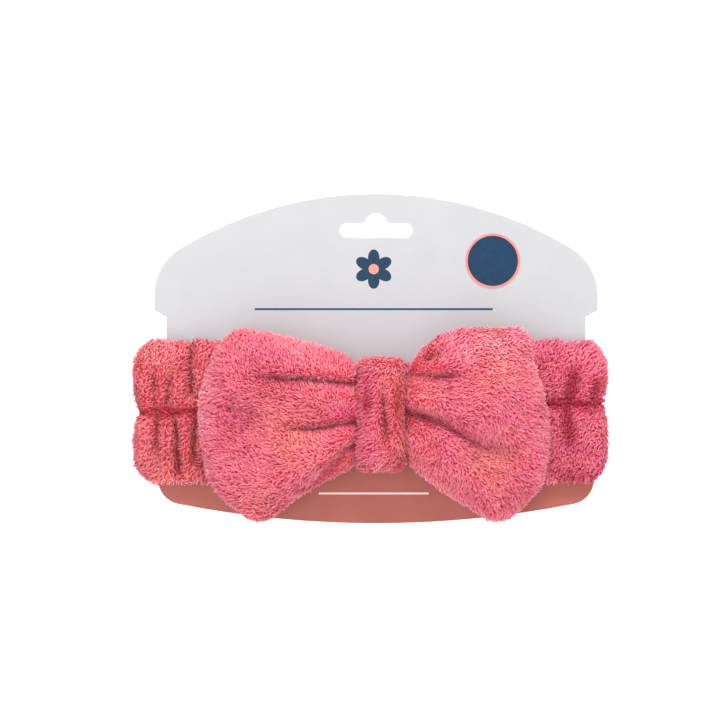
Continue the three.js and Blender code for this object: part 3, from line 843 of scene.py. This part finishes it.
# in mm; channelLeft and channelRight are how far the sewn channel rises at each end, and loopHalf is half the
# loop's thickness; leftNotch and rightNotch are the channel's dents in the loop's ends, and sink is how far
# the elastic and the channel's thread lie below the cloth
band = {"voxel": 1.7, "pileRoom": 1.2, "pileLength": 2.6, "spacing": 0.56, "cornerRadius": 12,
        "heightScale": 0.92, "channelLeft": -0.4, "channelRight": 3.6, "channelHalf": 3.2, "loopHalf": 7.3,
        "knotX": 2, "gatheredHalf": 22.8, "gatherStart": 10, "gatherRun": 34, "leftNotch": 3.2,
        "rightNotch": 1.8, "rightDraw": 1.3, "pressure": 4.0, "reach": 1.8, "liningPile": 1.6,
        "innerPile": 1.05, "liningSpacing": 0.75, "liningEdge": 4, "sink": 0.7}
bandFolds = [
    {"path": [(-80, -55), (-80.5, -66), (-80, -84)], "depth": 7, "width": 1.3, "lip": 2.4, "to": 0.2},
    {"path": [(-89, -70), (-90.5, -78), (-91, -86)], "depth": 5, "width": 1.3, "lip": 1.4,
     "from": 0.3, "to": 0.15},
    {"path": [(-97, -84), (-96, -76), (-97, -66)], "depth": 3.4, "width": 1.4, "lip": 1.0, "to": 0.5},
    {"path": [(-86.7, -89), (-86, -101), (-85.3, -116)], "depth": 7, "width": 1.3, "lip": 2.4, "to": 0.2},
    {"path": [(-94.5, -89), (-95, -98), (-96, -108)], "depth": 4.2, "width": 1.4, "lip": 1.2, "to": 0.5},
    {"path": [(-78, -90), (-79, -100), (-78, -112)], "depth": 4.5, "width": 1.4, "lip": 1.2, "to": 0.4},
    {"path": [(84, -83), (86, -72), (89, -60)], "depth": 1.1, "width": 2.6, "lip": 0.5, "to": 0.7},
    {"path": [(94, -84), (95, -76), (95, -66)], "depth": 0.8, "width": 2.4, "lip": 0.3, "to": 0.7},
    {"path": [(82, -85), (84, -96), (84, -108)], "depth": 1.2, "width": 2.6, "lip": 0.5, "to": 0.7},
]
# painted shadow of the right lobe on the band, and painted light and sheen on the band's two ends: x, z,
# radius, tone, warmth, pale
bandPatches = [(80, -78, 7, -0.3, 0, 0), (85, -114, 9, -0.3, 0, 0), (92, -60, 9, 0.15, 0, 0.2),
               (-93, -60, 9, 0.1, 0, 0.3), (90, -90, 16, 0.1, 0, 0)]


def fromLoopCore(co, reach):
    # the way to each point from the upright line down the middle of the loop's run or end
    low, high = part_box("band_outer_fleece")
    core = np.clip(co[:, 0], low.x + reach * mm, high.x - reach * mm)
    return np.stack([co[:, 0] - core, co[:, 1], np.zeros(len(co))], 1)


def knotBulge(co, height):
    # the front run's outer face stands out where it goes through the knot
    return height * mm * np.exp(-(np.abs(co[:, 0] - band["knotX"] * mm) / (16 * mm)) ** 6)


def shapeBand(co):
    # the front run gathers towards the bow, the channel slants a little, and the loop's ends are rounded
    low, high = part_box("band_outer_fleece")
    centreZ = (low.z + high.z) / 2
    half = (high.z - low.z) / 2
    fromKnot = np.abs(co[:, 0] - band["knotX"] * mm)
    cadHalf = half - knotBulge(co, 10.25)
    t = np.clip((fromKnot - band["gatherStart"] * mm) / (band["gatherRun"] * mm), 0, 1)
    gathered = band["gatheredHalf"] * mm
    wanted = gathered + (half - gathered) * t * t * (3 - 2 * t)
    isFrontRun = np.clip(-co[:, 1] / (0.4 * mm), 0, 1)
    squeeze = 1 - isFrontRun * (1 - np.minimum(wanted / cadHalf, 1))
    co = co.copy()
    co[:, 2] = centreZ + (co[:, 2] - centreZ) * squeeze
    share = (co[:, 0] - low.x) / (high.x - low.x)
    lift = (band["channelLeft"] + (band["channelRight"] - band["channelLeft"]) * share) * mm
    co[:, 2] += lift * np.clip(1 - np.abs(co[:, 2] - centreZ) / half, 0, 1)
    channelZ = centreZ + lift
    radius = band["cornerRadius"] * mm
    toEdge = np.minimum(high.z - co[:, 2], co[:, 2] - low.z)
    corner = radius - np.sqrt(np.maximum(radius ** 2 - np.clip(radius - toEdge, 0, radius) ** 2, 0))
    notch = np.exp(-(np.abs(co[:, 2] - channelZ) / (3.4 * mm)))
    ends = ((low.x, 1, band["leftNotch"], 0), (high.x, -1, band["rightNotch"], band["rightDraw"]))
    for end, sign, depth, draw in ends:
        closeness = np.clip(1 - np.abs(co[:, 0] - end) / (26 * mm), 0, 1)
        co[:, 0] += sign * (0.8 * corner + (depth * notch + draw) * mm) * closeness
    co[:, 2] = centreZ + (co[:, 2] - centreZ) * band["heightScale"]
    return co, channelZ


def makeBandOuter():
    low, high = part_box("band_outer_fleece")

    def thickenChannel(co):
        # the cloth under the channel is too thin to remesh, so it is built out and pressed back later
        base = 4.2 * mm + np.where(co[:, 1] < 0, knotBulge(co, 3), 0)
        way = fromLoopCore(co, band["loopHalf"])
        far = lengths(way)[:, 0]
        grown = np.where(far > base + 0.4 * mm, np.maximum(far, base + 2.1 * mm) / np.maximum(far, 1e-9), 1)
        return co - way + way * grown[:, None]

    def awayFromCore(co):
        way = fromLoopCore(co, band["loopHalf"])
        return way / np.maximum(lengths(way), 1e-9)

    piece = paddingFrom("bandOuter", "band_outer_fleece", band["voxel"] * mm, thickenChannel)
    co = readPoints(piece.data)
    normals = readNormals(piece.data)
    outer = np.clip(0.5 + 0.8 * (normals * awayFromCore(co)).sum(axis=1), 0, 1)
    centreZ = (low.z + high.z) / 2
    channel = np.abs(co[:, 2] - centreZ) < band["channelHalf"] * mm
    room = np.where(channel, 0, outer) * band["pileRoom"] * mm
    writePoints(piece.data, co - normals * room[:, None])
    held = np.maximum(outer < 0.6, channel).astype(float)
    puffCloth(piece, held, band["pressure"], band["reach"] * mm)
    co = readPoints(piece.data)
    skin = np.clip((readNormals(piece.data) * awayFromCore(co)).sum(axis=1) * 2 + 0.6, 0, 1)
    co, channelZ = shapeBand(co)
    isFront = np.clip(-co[:, 1] / (3 * mm) - 0.7, 0, 1) * skin
    isBack = np.clip(co[:, 1] / (3 * mm) - 0.7, 0, 1) * skin
    puffs = np.clip(np.abs(co[:, 2] - channelZ) / (6 * mm), 0, 1)
    leftEnd = np.clip((-66 * mm - co[:, 0]) / (8 * mm), 0, 1)
    co[:, 1] += (isBack - isFront) * (0.9 + 0.9 * leftEnd) * mm * puffs
    co, near = pressAll(co, isFront, bandFolds, [])
    wander = softNoise(co * np.array([1, 1, 0.3]), 8 * mm, 91)
    co[:, 1] += (isBack - isFront) * 1.3 * mm * wander
    channelNear = np.exp(-(np.abs(co[:, 2] - channelZ) / (2.0 * mm)) ** 2)
    co[:, 1] += (isFront - isBack) * 0.5 * mm * channelNear
    toRim = np.clip(np.abs(co[:, 2] - centreZ) / (20 * mm) - 0.6, 0, 1)
    co[:, 2] += 0.9 * mm * softNoise(co, 12 * mm, 93) * toRim
    floorY = -(4.7 * mm + knotBulge(co, 3))
    inRun = (co[:, 0] > low.x + 9 * mm) & (co[:, 0] < high.x - 9 * mm)
    co[:, 1] = np.where((isFront > 0.7) & inRun, np.minimum(co[:, 1], floorY), co[:, 1])
    writePoints(piece.data, co)
    smoothPoints(piece, 1)
    co = readPoints(piece.data)
    normals = readNormals(piece.data)
    outer = (normals * awayFromCore(co)).sum(axis=1)
    fromKnot = np.abs(co[:, 0] - band["knotX"] * mm)
    behindLobe = np.clip((fromKnot - 22 * mm) / (8 * mm), 0, 1)
    behindLobe *= np.clip((70 * mm - fromKnot) / (10 * mm), 0, 1)
    behindLobe *= np.clip((28 * mm - np.abs(co[:, 2] - centreZ)) / (8 * mm), 0, 1)
    cover = np.where(co[:, 1] > 3 * mm, 0.5, np.where(co[:, 1] < 0, 1 - 0.5 * behindLobe, 1.0))
    cover[(outer < -0.3) | ((co[:, 1] < 0) & (fromKnot < 8.5 * mm))] = 0
    upDown = np.where(co[:, 2] > channelZ, 1.0, -1.0)
    swirl = math.radians(55) * softNoise(co, 9 * mm, 95)
    nap = np.stack([np.sin(swirl), np.zeros(len(co)), upDown * np.cos(swirl)], 1)
    near = np.maximum(near, channelNear)
    fringe = np.clip(np.abs(co[:, 2] - centreZ) / mm - 27, 0, 5) / 5
    length = band["pileLength"] * mm * (1 + 0.2 * softNoise(co, 6 * mm, 97))
    length *= 1 - 0.3 * near + 0.3 * fringe
    length *= np.where(co[:, 1] > 3 * mm, 1.15, 1)
    # painted shade in the folds, in the channel and on the lower half, over random differences in tone
    lower = np.clip((centreZ - co[:, 2]) / (20 * mm), 0, 1)
    tone = 0.62 + 0.28 * softNoise(co, 8 * mm, 99) - 0.7 * near - 0.1 * lower
    warmth = 0.8 - 0.7 * np.tanh(co[:, 0] / (45 * mm)) + 0.5 * softNoise(co, 14 * mm, 101)
    # painted sheen along the top and bottom edges, more along the bottom
    pale = 0.7 * fringe * (co[:, 2] < centreZ) + 0.2 * fringe
    tone, warmth, pale = addPatches(co, [tone, warmth, pale], bandPatches)
    growPile(piece, nap, length, cover, tone, warmth, pale, band["spacing"] * mm)
    setMaterial(piece, fleece)
    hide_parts("band_outer_fleece")
    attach(piece, "headband")


def makeBandLining():
    low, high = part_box("band_lining_fleece")
    piece = mergedCopy("bandLining", "band_lining_fleece", band["liningEdge"] * mm)
    co, channelZ = shapeBand(readPoints(piece.data))
    co[:, 1] += 0.15 * mm * softNoise(co, 5 * mm, 111)
    writePoints(piece.data, co)
    normals = readNormals(piece.data)
    core = np.stack([np.clip(co[:, 0], low.x + 6 * mm, high.x - 6 * mm), np.zeros(len(co)), co[:, 2]], 1)
    inwards = ((core - co) * normals).sum(axis=1) > 0.5 * lengths(core - co)[:, 0]
    isEdge = np.abs(normals[:, 2]) > 0.4
    nearRim = np.clip((np.abs(co[:, 2] - channelZ) - 14 * mm) / (4 * mm), 0.25, 1)
    cover = np.where(isEdge, 1.0, np.where(inwards, nearRim, 0))
    length = np.where(isEdge, band["liningPile"], band["innerPile"]) * mm
    inKnot = (co[:, 1] < 0) & (np.abs(co[:, 0] - band["knotX"] * mm) < 9 * mm)
    upDown = np.sign(co[:, 2] - (low.z + high.z) / 2)
    nap = np.stack([0.3 * np.ones(len(co)), np.zeros(len(co)), upDown], 1)
    ones = np.ones(len(co))
    tone = 0.6 + 0.4 * softNoise(co, 6 * mm, 113)
    cover[inKnot] = 0
    growPile(piece, nap, length, cover, tone, ones, ones * 0.5, band["liningSpacing"] * mm, knit=0.3)
    setMaterial(piece, fleece)
    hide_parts("band_lining_fleece")
    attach(piece, "headband")


def makeBandInsides():
    # the elastic and the running threads, laid where the shaped band carries them
    names = {"elastic_band": "elasticTape", "upper_edge_seam": "upperEdgeThread",
             "lower_edge_seam": "lowerEdgeThread", "centre_stitch": "channelThread",
             "closing_seam": "closingThread"}
    for node, name in names.items():
        piece = newPiece(name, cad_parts[node].data.copy())
        co = shapeBand(readPoints(piece.data))[0]
        if node in ("elastic_band", "centre_stitch"):
            way = fromLoopCore(co, 8)
            co -= way / np.maximum(lengths(way), 1e-9) * band["sink"] * mm
        writePoints(piece.data, co)
        setMaterial(piece, elastic if node == "elastic_band" else thread)
        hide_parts(node)
        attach(piece, "headband")


makeBandOuter()
makeBandLining()
makeBandInsides()
print("band done")


# in metres; view is how wide the camera sees at the object, ambient how strong the light all round is
stage = {"floorZ": -0.32, "frontY": -2.5, "wallY": 1.7, "sweep": 0.8, "halfWidth": 3.0, "height": 2.6,
         "view": 0.3146, "viewMiddle": (-0.007, 0, -0.0642), "lens": 100, "ambient": 0.62}


def makeBackdrop():
    # seamless studio paper: a floor that sweeps up into a wall behind the object
    shape = bmesh.new()
    left = -stage["halfWidth"]
    bendY = stage["wallY"] - stage["sweep"]
    front = shape.verts.new((left, stage["frontY"], stage["floorZ"]))
    moving = bmesh.ops.extrude_vert_indiv(shape, verts=[front])["verts"]
    bmesh.ops.translate(shape, verts=moving, vec=(0, bendY - stage["frontY"], 0))
    bend = bmesh.ops.spin(shape, geom=moving, cent=(left, bendY, stage["floorZ"] + stage["sweep"]),
                          axis=(1, 0, 0), angle=math.pi / 2, steps=12)
    moving = [item for item in bend["geom_last"] if isinstance(item, bmesh.types.BMVert)]
    moving = bmesh.ops.extrude_vert_indiv(shape, verts=moving)["verts"]
    bmesh.ops.translate(shape, verts=moving, vec=(0, 0, stage["height"] - stage["sweep"]))
    wide = bmesh.ops.extrude_edge_only(shape, edges=shape.edges[:])
    moving = [item for item in wide["geom"] if isinstance(item, bmesh.types.BMVert)]
    bmesh.ops.translate(shape, verts=moving, vec=(2 * stage["halfWidth"], 0, 0))
    bmesh.ops.recalc_face_normals(shape, faces=shape.faces)
    mesh = bpy.data.meshes.new("backdrop")
    shape.to_mesh(mesh)
    shape.free()
    mesh.shade_smooth()
    backdrop = newPiece("backdrop", mesh)
    material, tree = newMaterial("studioPaper")
    grain = addNode(tree, "ShaderNodeTexNoise", inputs={"Vector": objectPoint(tree), "Scale": noiseScale(25)})
    color = ramp(tree, grain.outputs["Fac"], [(0.3, "#F7F7F8"), (0.7, "#FBFBFC")])
    shader = addNode(tree, "ShaderNodeBsdfPrincipled", inputs={"Base Color": color, "Roughness": 0.95})
    finishMaterial(tree, shader)
    setMaterial(backdrop, material)


def addAreaLight(name, place, target, size, power, color):
    light = bpy.data.lights.new(name, "AREA")
    light.shape = "DISK"
    light.size = size
    light.energy = power
    light.color = linearColor(color)[:3]
    lamp = newPiece(name, light)
    lamp.location = place
    lamp.rotation_euler = (Vector(target) - Vector(place)).to_track_quat("-Z", "Y").to_euler()


def makeCamera():
    camera = bpy.data.cameras.new("camera")
    camera.lens = stage["lens"]
    camera.sensor_width = 36
    distance = stage["view"] * camera.lens / camera.sensor_width
    piece = newPiece("camera", camera)
    piece.location = Vector(stage["viewMiddle"]) + Vector((0, -distance, 0))
    piece.rotation_euler = (math.pi / 2, 0, 0)
    bpy.context.scene.camera = piece


makeBackdrop()
makeCamera()
centre = (0, 0, -0.08)
addAreaLight("keyLight", (0.1, -0.8, 0.95), centre, 0.6, 15, "#FFFBF8")
addAreaLight("frontFill", (-0.3, -1.3, -0.1), centre, 0.9, 5, "#FFFFFF")
addAreaLight("backdropLight", (0, 0.45, 1.2), (0, 1.6, 0.1), 1.2, 10, "#FFFFFF")
addAreaLight("rearFill", (-0.5, 1.0, 0.5), centre, 0.6, 1.5, "#FFFFFF")

world = bpy.data.worlds.new("studio")
world.use_nodes = True
background = world.node_tree.nodes["Background"]
background.inputs["Color"].default_value = linearColor("#FFFFFF")
background.inputs["Strength"].default_value = stage["ambient"]
bpy.context.scene.world = world
bpy.context.scene.view_settings.view_transform = "Standard"
